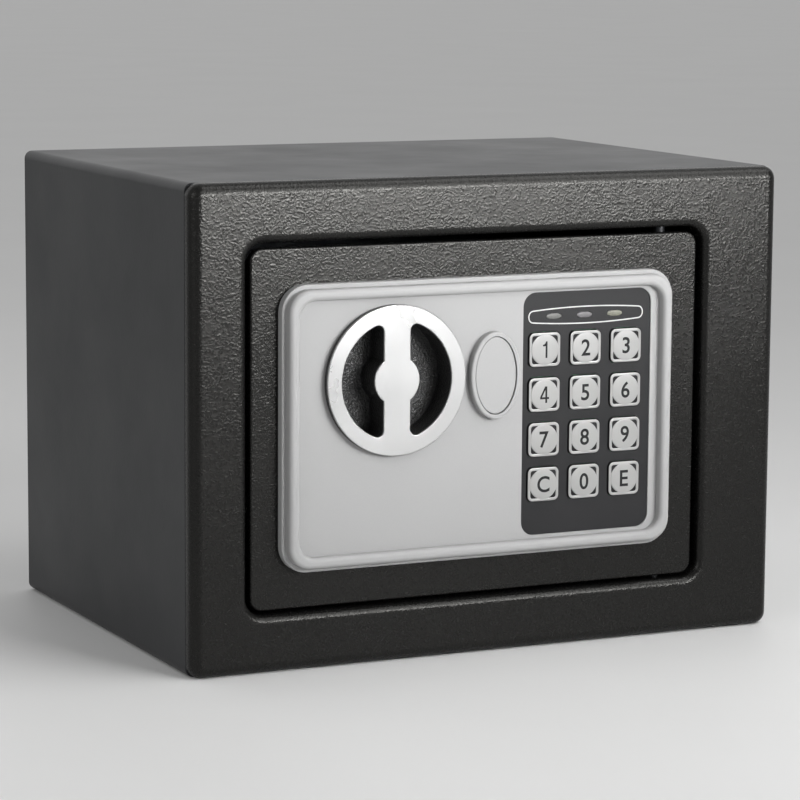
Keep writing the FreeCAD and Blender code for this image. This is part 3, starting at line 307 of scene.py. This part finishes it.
def make_looks():
    """One material for each of the record's slots, and a few for printing and details."""
    looks = {}

    def add(maker, name, *colors, **settings):
        looks[name] = maker(name, *colors, **settings)

    add(satin_paint, "cabinet_paint", (0.0105, 0.0110, 0.0122), roughness=0.40, Specular_IOR_Level=0.30,
        Specular_Tint=(0.95, 0.97, 1.0, 1.0))
    add(grain_paint, "grain_paint", (0.0040, 0.0039, 0.0038), size=1.5 * MM, depth=0.075 * MM,
        roughness=0.29, contrast=0.8, Specular_IOR_Level=0.24, Specular_Tint=(1.0, 0.99, 0.95, 1.0))
    add(satin_paint, "cover_paint", (0.022, 0.022, 0.023), roughness=0.5)
    add(metal, "zinc_steel", (0.62, 0.61, 0.57), roughness=0.34, brush=(1.0, 0.1, 1.0))
    add(metal, "bolt_steel", (0.70, 0.70, 0.69), roughness=0.2, brush=(0.08, 1.0, 1.0), spangle=0.05)
    add(metal, "lock_chrome", (0.74, 0.74, 0.74), roughness=0.14, brush=(1.0, 0.15, 1.0), spangle=0.04)
    add(metal, "brass", (0.70, 0.50, 0.22), roughness=0.24, brush=(1.0, 0.15, 1.0), spangle=0.08)
    add(metal, "contact_metal", (0.68, 0.66, 0.6), roughness=0.25, brush=(1.0, 1.0, 0.1))
    add(silver_plastic, "panel_plastic", (0.31, 0.31, 0.31), roughness=0.50, metallic=0.0,
        Specular_IOR_Level=0.3)
    add(silver_plastic, "knob_silver", (0.415, 0.415, 0.415), roughness=0.30, metallic=0.70, flake=0.01,
        relief=0.0003 * MM)
    add(grain_paint, "knob_plastic", (0.017, 0.017, 0.017), size=1.3 * MM, depth=0.28 * MM, roughness=0.36)
    add(silver_plastic, "key_plastic", (0.285, 0.285, 0.28), roughness=0.34, metallic=0.1, flake=0.05)
    add(plain_plastic, "keypad_plastic", (0.019, 0.019, 0.020), roughness=0.42, grain=0.5 * MM,
        depth=0.008 * MM, Specular_IOR_Level=0.15)
    add(plain_plastic, "battery_plastic", (0.022, 0.022, 0.023), roughness=0.45, grain=0.7 * MM,
        depth=0.04 * MM)
    add(plain_plastic, "red_plastic", (0.45, 0.012, 0.010), roughness=0.28, grain=1.0 * MM, depth=0.01 * MM)
    add(lamp_lens, "lamp_yellow", (0.12, 0.12, 0.115))
    add(lamp_lens, "lamp_green", (0.12, 0.115, 0.12))
    add(lamp_lens, "lamp_red", (0.15, 0.15, 0.12))
    add(circuit_board, "board", (0.01, 0.09, 0.035), (0.03, 0.2, 0.07))
    add(plain_plastic, "coil_tape", (0.36, 0.20, 0.03), roughness=0.35, grain=0.6 * MM, depth=0.03 * MM)
    add(plain_plastic, "cell_label", (0.03, 0.035, 0.04), roughness=0.22, grain=1.0 * MM, depth=0.004 * MM)
    add(felt, "felt", (0.016, 0.016, 0.018))
    add(plain_plastic, "legend_ink", (0.012, 0.012, 0.013), roughness=0.6, Specular_IOR_Level=0.15)
    add(plain_plastic, "white_ink", (0.48, 0.48, 0.475), roughness=0.4)
    add(plain_plastic, "key_corner", (0.012, 0.012, 0.013), roughness=0.6, Specular_IOR_Level=0.15)
    return looks


# ---------------------------------------------------------------- mesh pieces

def rounded_outline(width, height, radius):
    """A function of an inset, giving the points (x, z) of a rounded rectangle about its centre."""
    steps = 6

    def points(inset):
        r = max(radius - inset, LEAST_RADIUS)
        w, h = width / 2 - inset - r, height / 2 - inset - r
        corners = ((w, h, 0), (-w, h, 1), (-w, -h, 2), (w, -h, 3))
        ring = []
        for cx, cz, turn in corners:
            for step in range(steps + 1):
                angle = (turn + step / steps) * math.pi / 2
                ring.append((cx + r * math.cos(angle), cz + r * math.sin(angle)))
        return ring
    return points


def oval_outline(width, height, count, squareness=2.0):
    """A function of an inset, giving the points (x, z) of an oval about its centre; 2 is an ellipse."""
    def points(inset):
        a, b = max(width / 2 - inset, LEAST_HALF), max(height / 2 - inset, LEAST_HALF)
        ring = []
        for step in range(count):
            angle = step / count * 2 * math.pi
            c, s = math.cos(angle), math.sin(angle)
            x = a * math.copysign(abs(c) ** (2 / squareness), c)
            z = b * math.copysign(abs(s) ** (2 / squareness), s)
            ring.append((x, z))
        return ring
    return points


def cross_outline(arm, half_width, count):
    """A function of an inset, giving a cross recess's points, as many as a round outline has."""
    def points(inset):
        reach, half = arm - inset, max(half_width - inset, LEAST_HALF)
        ring = []
        for step in range(count):
            angle = step / count * 2 * math.pi
            c, s = abs(math.cos(angle)), abs(math.sin(angle))
            radius = min(reach / max(c, s), half / max(min(c, s), SMALL))
            ring.append((radius * math.cos(angle), radius * math.sin(angle)))
        return ring
    return points


class Solid:
    """A mesh put together from swept sections; each section has a material index."""

    def __init__(self, name):
        self.name = name
        self.bm = bmesh.new()

    def section(self, outline, centre, profile, index=0, closed=False):
        """Sweep a profile of (inset, y) pairs round an outline that stands upright at centre (x, z)."""
        return self.stack(centre, [(outline, inset, y) for inset, y in profile], index, closed)

    def stack(self, centre, levels, index=0, closed=False):
        """Join rings of (outline, inset, y), all with as many points, into one skin.

        A closed section returns to its first ring; any other is capped at both ends.
        """
        rings = []
        for outline, inset, y in levels:
            rings.append([self.bm.verts.new((centre[0] + x, y, centre[1] + z)) for x, z in outline(inset)])
        pairs = list(zip(rings, rings[1:]))
        if closed:
            pairs.append((rings[-1], rings[0]))
        for lower, upper in pairs:
            for n in range(len(lower)):
                m = (n + 1) % len(lower)
                self.bm.faces.new((lower[n], lower[m], upper[m], upper[n])).material_index = index
        if not closed:
            self.bm.faces.new(rings[0]).material_index = index
            self.bm.faces.new(list(reversed(rings[-1]))).material_index = index
        return self

    def finish(self, body, slot, *materials):
        """Turn the sections into a piece that rides on a body."""
        bmesh.ops.recalc_face_normals(self.bm, faces=self.bm.faces)
        mesh = bpy.data.meshes.new(self.name)
        self.bm.to_mesh(mesh)
        self.bm.free()
        return place_piece(self.name, mesh, body, materials, PIECE_CREASE)


def place_piece(name, mesh, body, materials, crease):
    """An object for a finished mesh, smooth except at edges sharper than the crease, riding on a body."""
    for material in materials:
        mesh.materials.append(material)
    smooth(mesh, crease)
    piece = bpy.data.objects.new(name, mesh)
    bpy.context.scene.collection.objects.link(piece)
    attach(piece, body)
    return piece


def smooth(mesh, crease):
    """Smooth shading, kept crisp where faces meet at more than this many degrees."""
    mesh.shade_smooth()
    mesh.set_sharp_from_angle(angle=math.radians(crease))


def middle(node_name):
    """A CAD node's centre as (x, z), and its front and back Y."""
    low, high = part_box(node_name)
    return ((low.x + high.x) / 2, (low.z + high.z) / 2), low.y, high.y


# figures that look different in the built-in font, drawn one unit high: corners (x, up), then faces
DRAWN_FIGURES = {
    "1": ([(0.32, 0.0), (0.32, 1.0), (0.22, 1.0), (0.17, 0.89), (0.10, 0.83), (0.0, 0.80), (0.0, 0.71),
           (0.19, 0.71), (0.19, 0.0)],
          [(0, 1, 2, 7, 8), (7, 2, 3, 4, 5, 6)]),
    "4": ([(0.37, 0.0), (0.50, 0.0), (0.50, 0.23), (0.63, 0.23), (0.63, 0.35), (0.50, 0.35), (0.50, 1.0),
           (0.35, 1.0), (0.0, 0.36), (0.0, 0.23), (0.37, 0.23), (0.37, 0.35), (0.37, 0.79), (0.13, 0.35)],
          [(0, 1, 2, 10), (10, 2, 5, 11), (2, 3, 4, 5), (9, 10, 11, 13, 8), (11, 5, 6, 12), (12, 6, 7),
           (7, 8, 13, 12)]),
}


def glyph_mesh(name, text):
    """A character's flat outline, drawn above or taken from the built-in font."""
    if text in DRAWN_FIGURES:
        mesh = bpy.data.meshes.new(name)
        corners, faces = DRAWN_FIGURES[text]
        mesh.from_pydata([(x, y, 0) for x, y in corners], [], faces)
        return mesh
    curve = bpy.data.curves.new(f"{name}_curve", "FONT")
    curve.body = text
    curve.resolution_u = 5
    curve.offset = LEGEND_BOLDNESS
    holder = bpy.data.objects.new(f"{name}_holder", curve)
    bpy.context.scene.collection.objects.link(holder)
    bpy.context.view_layer.update()
    mesh = bpy.data.meshes.new_from_object(holder)
    bpy.data.objects.remove(holder)
    return mesh


def lettering(name, text, centre, y, body, material):
    """A thin printed character, upright and facing the front."""
    mesh = glyph_mesh(name, text)
    mesh.name = name
    xs = [v.co.x for v in mesh.vertices]
    ys = [v.co.y for v in mesh.vertices]
    scale = LEGEND_HEIGHT / (max(ys) - min(ys))
    shift = Vector(((max(xs) + min(xs)) / 2, (max(ys) + min(ys)) / 2, 0))
    for vertex in mesh.vertices:
        flat = (vertex.co - shift) * scale
        vertex.co = (centre[0] + flat.x * LEGEND_NARROWING, y, centre[1] + flat.y)
    work = bmesh.new()
    work.from_mesh(mesh)
    solid = bmesh.ops.extrude_face_region(work, geom=work.faces[:])
    for vertex in [g for g in solid["geom"] if isinstance(g, bmesh.types.BMVert)]:
        vertex.co.y -= LEGEND_THICKNESS
    bmesh.ops.recalc_face_normals(work, faces=work.faces)
    work.to_mesh(mesh)
    work.free()
    return place_piece(name, mesh, body, [material], GLYPH_CREASE)


# ---------------------------------------------------------------- pieces of the safe

def dress_nodes(looks):
    """Every CAD node gets its slot's material, smooth on its curved faces."""
    slots = {part["node"]: part["material_slot"] for part in frame["record"]["subparts"]}
    for name, obj in NODES.items():
        obj.data.materials.clear()
        obj.data.materials.append(looks[slots[name]])
        smooth(obj.data, NODE_CREASE)


def make_key(name, legend, looks):
    """A key: dark cap, printed square ring, raised round face, and its legend."""
    node_name = f"key_{name}"
    centre, front, back = middle(node_name)
    low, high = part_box(node_name)
    corner_radius, face_diameter = 2.0 * MM, 10.9 * MM
    cap_top = front + 0.3 * MM
    ring_top = cap_top - 0.16 * MM
    ring_shoulder = ring_top + 0.06 * MM
    buried = cap_top + 0.05 * MM
    dark, silver = 0, 1
    square = rounded_outline(high.x - low.x, high.z - low.z, corner_radius)
    round_face = oval_outline(face_diameter, face_diameter, ROUND_POINTS)
    key = Solid(f"{node_name}_cap")
    key.section(square, centre, [
        (0, back),
        (0, cap_top + 0.25 * MM),
        (0.08 * MM, cap_top + 0.08 * MM),
        (0.25 * MM, cap_top)], dark)
    key.section(square, centre, [
        (0.08 * MM, buried),
        (0.1 * MM, ring_shoulder),
        (0.2 * MM, ring_top),
        (0.98 * MM, ring_top),
        (1.08 * MM, ring_shoulder),
        (1.1 * MM, buried)], silver, closed=True)
    key.section(round_face, centre, [
        (0, buried),
        (0, front + 0.14 * MM),
        (0.12 * MM, front + 0.05 * MM),
        (0.4 * MM, front + 0.02 * MM),
        (2.5 * MM, front)], silver)
    piece = key.finish(node_name, "key_plastic", looks["key_corner"], looks["key_plastic"])
    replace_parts(piece, node_name)
    legend_back = front + 0.012 * MM
    lettering(f"{node_name}_legend", legend, centre, legend_back, node_name,
              looks["legend_ink"])


def make_lamp(colour, looks):
    """A small domed lamp lens."""
    node_name = f"led_{colour}"
    centre, front, back = middle(node_name)
    low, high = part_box(node_name)
    lens_points, squareness = 40, 2.3
    lens = oval_outline(high.x - low.x, high.z - low.z, lens_points, squareness)
    dome_height, dome_width, dome_steps = 0.13 * MM, 0.85 * MM, 5
    profile = [(0, back), (0, front + dome_height)]
    for step in range(1, dome_steps + 1):
        angle = step / dome_steps * math.pi / 2
        profile.append((dome_width * (1 - math.cos(angle)), front + dome_height * (1 - math.sin(angle))))
    solid = Solid(f"{node_name}_lens").section(lens, centre, profile)
    piece = solid.finish("door", f"lamp_{colour}", looks[f"lamp_{colour}"])
    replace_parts(piece, node_name)


def lamp_window_outline(half, end_radius, swell):
    """A function of an inset, giving the points (x, z) of a long lens shape, fuller in the middle."""
    side_steps, end_steps = 24, 10
    end_lift = 0.3 * MM
    straight = half - end_radius

    def points(inset):
        ring = []
        for side in (1, -1):
            for n in range(side_steps + 1):
                x = side * straight * (1 - 2 * n / side_steps)
                bow = swell * (1 - (x / straight) ** 2)
                ring.append((x, side * (end_radius + end_lift + bow - inset)))
            for n in range(1, end_steps):
                angle = math.pi / 2 + n / end_steps * math.pi
                x = (end_radius - inset) * math.cos(angle) - straight
                z = (end_radius + end_lift - inset) * math.sin(angle)
                ring.append((side * x, side * z))
        return ring
    return points


def make_lamp_window(looks):
    """The printed pale line round the lamps."""
    low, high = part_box("keypad_plate")
    left_shift, line_width, line_depth = 0.4 * MM, 0.42 * MM, 0.05 * MM
    centre = ((low.x + high.x) / 2 - left_shift, middle("led_green")[0][1])
    half_length, end_radius, swell = 23.2 * MM, 2.0 * MM, 0.9 * MM
    outline = lamp_window_outline(half_length, end_radius, swell)
    face, root = low.y - line_depth, low.y + line_depth
    profile = [(0, root), (0, face), (line_width, face), (line_width, root)]
    line = Solid("lamp_window_line").section(outline, centre, profile, closed=True)
    line.finish("door", "keypad_plastic", looks["white_ink"])


def make_screws(node_name, head_radius, shank_radius, looks):
    """Four pan-head screws with cross recesses, their heads to the back."""
    low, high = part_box(node_name)
    head_height, recess_reach, recess_half_width = 1.6 * MM, 0.58, 0.3 * MM
    seat = high.y - head_height
    head = oval_outline(head_radius * 2, head_radius * 2, ROUND_POINTS)
    shank = oval_outline(shank_radius * 2, shank_radius * 2, ROUND_POINTS)
    cross = cross_outline(head_radius * recess_reach, recess_half_width, ROUND_POINTS)
    screws = Solid(f"{node_name}_pan_heads")
    for x in (low.x + head_radius, high.x - head_radius):
        for z in (low.z + head_radius, high.z - head_radius):
            screws.stack((x, z), [
                (shank, 0.3 * MM, low.y),
                (shank, 0, low.y + 0.3 * MM),
                (shank, 0, seat),
                (head, 0, seat),
                (head, 0, seat + 0.75 * MM),
                (head, 0.12 * MM, seat + 1.1 * MM),
                (head, 0.4 * MM, seat + 1.4 * MM),
                (head, 0.9 * MM, high.y),
                (cross, 0, high.y),
                (cross, 0.08 * MM, seat + 0.7 * MM)])
    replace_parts(screws.finish("door", "zinc_steel", looks["zinc_steel"]), node_name)


def make_battery_cover(looks):
    """The battery lid: soft edges, a locating rib behind it and a row of grip bars."""
    low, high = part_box("battery_cover")
    centre, front, back = middle("battery_cover")
    width, height = high.x - low.x, high.z - low.z
    rib_margin_x, rib_margin_z, rib_radius, lid_radius = 3.4 * MM, 2.9 * MM, 1.0 * MM, 2.2 * MM
    lid_thickness, bar_height = 1.6 * MM, 0.4 * MM
    bar_count, bar_pitch, first_bar_drop = 7, 2.6 * MM, 8 * MM
    bar_length, bar_thickness, bar_radius = 24 * MM, 1.3 * MM, 0.6 * MM
    face, skin = back - lid_thickness, back - bar_height
    lid = Solid("battery_cover_lid")
    rib = rounded_outline(width - 2 * rib_margin_x, height - 2 * rib_margin_z, rib_radius)
    lid.section(rib, centre, [
        (0.4 * MM, front),
        (0, front + 0.4 * MM),
        (0, face + 0.1 * MM)])
    lid.section(rounded_outline(width, height, lid_radius), centre, [
        (0, face),
        (0, skin - 0.5 * MM),
        (0.15 * MM, skin - 0.15 * MM),
        (0.5 * MM, skin)])
    bar = rounded_outline(bar_length, bar_thickness, bar_radius)
    for n in range(bar_count):
        place = (centre[0], high.z - first_bar_drop - n * bar_pitch)
        lid.section(bar, place, [
            (0, skin - 0.2 * MM),
            (0, skin + 0.2 * MM),
            (0.25 * MM, back)])
    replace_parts(lid.finish("battery_cover", "battery_plastic", looks["battery_plastic"]), "battery_cover")


def make_reset_button(looks):
    """The red button with a dished end."""
    centre, front, back = middle("reset_button")
    low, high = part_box("reset_button")
    round_outline = oval_outline(high.x - low.x, high.z - low.z, ROUND_POINTS)
    button = Solid("reset_button_stem")
    button.section(round_outline, centre, [
        (0.3 * MM, front),
        (0, front + 0.3 * MM),
        (0, back - 0.5 * MM),
        (0.15 * MM, back - 0.15 * MM),
        (0.5 * MM, back),
        (0.9 * MM, back - 0.05 * MM),
        (1.8 * MM, back - 0.3 * MM)])
    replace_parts(button.finish("reset_button", "red_plastic", looks["red_plastic"]), "reset_button")


# ---------------------------------------------------------------- stage

def make_floor():
    """A plain pale floor, a hair below the safe."""
    mesh = bpy.data.meshes.new("floor")
    half_size, drop = 20.0, 0.05 * MM
    corners = [(-half_size, -half_size, 0), (half_size, -half_size, 0), (half_size, half_size, 0),
               (-half_size, half_size, 0)]
    mesh.from_pydata(corners, [], [(0, 1, 2, 3)])
    look = Look("floor", (0.67, 0.67, 0.667), roughness=0.6)
    patch = look.noise(150 * MM, detail=3.0).outputs["Fac"]
    look.color(look.blend(patch, (0.65, 0.65, 0.647), (0.69, 0.69, 0.687)))
    mesh.materials.append(look.material)
    floor = bpy.data.objects.new("floor", mesh)
    floor.location.z = -drop
    bpy.context.scene.collection.objects.link(floor)


def make_room():
    """The room round the safe: dimmer in front than behind, and a little dimmer low down."""
    world = bpy.data.worlds.new("room")
    world.use_nodes = True
    tree = world.node_tree
    background = tree.nodes["Background"]
    background.inputs["Color"].default_value = (1.0, 1.0, 1.0, 1.0)
    place = tree.nodes.new("ShaderNodeTexCoord")
    split = tree.nodes.new("ShaderNodeSeparateXYZ")
    tree.links.new(place.outputs["Generated"], split.inputs[0])
    product = tree.nodes.new("ShaderNodeMath")
    product.operation = "MULTIPLY"
    for slot, (axis, *levels) in enumerate(ROOM_FADES):
        fade = tree.nodes.new("ShaderNodeMapRange")
        tree.links.new(split.outputs[axis], fade.inputs["Value"])
        for name, value in zip(("From Min", "From Max", "To Min", "To Max"), levels):
            fade.inputs[name].default_value = value
        tree.links.new(fade.outputs["Result"], product.inputs[slot])
    tree.links.new(product.outputs[0], background.inputs["Strength"])
    bpy.context.scene.world = world


def area_light(name, place, target, size, power, spread):
    """A soft rectangular light aimed at a point, its beam this many degrees wide."""
    data = bpy.data.lights.new(name, "AREA")
    data.shape = "RECTANGLE"
    data.size, data.size_y = size
    data.energy = power
    data.spread = math.radians(spread)
    light = bpy.data.objects.new(name, data)
    light.location = place
    light.rotation_euler = (Vector(target) - Vector(place)).to_track_quat("-Z", "Y").to_euler()
    bpy.context.scene.collection.objects.link(light)


def make_lights():
    """Four soft boxes; the strip is the one that the upper front mirrors towards the camera."""
    for name, place, target, size, power, spread in AREA_LIGHTS:
        area_light(name, place, target, size, power, spread)


def make_camera():
    """The photograph's viewpoint: a long lens, a little above the door's middle and to its left."""
    azimuth, elevation, roll = (math.radians(angle) for angle in CAMERA_ANGLES)
    back = Vector((math.sin(azimuth) * math.cos(elevation), -math.cos(azimuth) * math.cos(elevation),
                   math.sin(elevation)))
    side = Vector((0, 0, 1)).cross(back).normalized()
    up = back.cross(side)
    right = side * math.cos(roll) + up * math.sin(roll)
    top = up * math.cos(roll) - side * math.sin(roll)
    turn = Matrix((right, top, back)).transposed().to_4x4()
    data = bpy.data.cameras.new("camera")
    data.sensor_width = CAMERA_SENSOR
    data.lens = CAMERA_LENS
    data.clip_start, data.clip_end = CAMERA_RANGE
    camera = bpy.data.objects.new("camera", data)
    camera.matrix_world = Matrix.Translation(Vector(CAMERA_TARGET) + back * CAMERA_DISTANCE) @ turn
    bpy.context.scene.collection.objects.link(camera)
    bpy.context.scene.camera = camera


def main():
    bpy.context.scene.view_settings.view_transform = "Standard"
    make_camera()
    make_room()
    make_lights()
    make_floor()
    looks = make_looks()
    dress_nodes(looks)
    for name, legend in KEY_LEGENDS.items():
        make_key(name, legend, looks)
    for colour in LAMP_COLOURS:
        make_lamp(colour, looks)
    make_lamp_window(looks)
    make_screws("rear_cover_screws", head_radius=2.6 * MM, shank_radius=1.5 * MM, looks=looks)
    make_screws("panel_screws", head_radius=2.2 * MM, shank_radius=1.3 * MM, looks=looks)
    make_battery_cover(looks)
    make_reset_button(looks)


main()
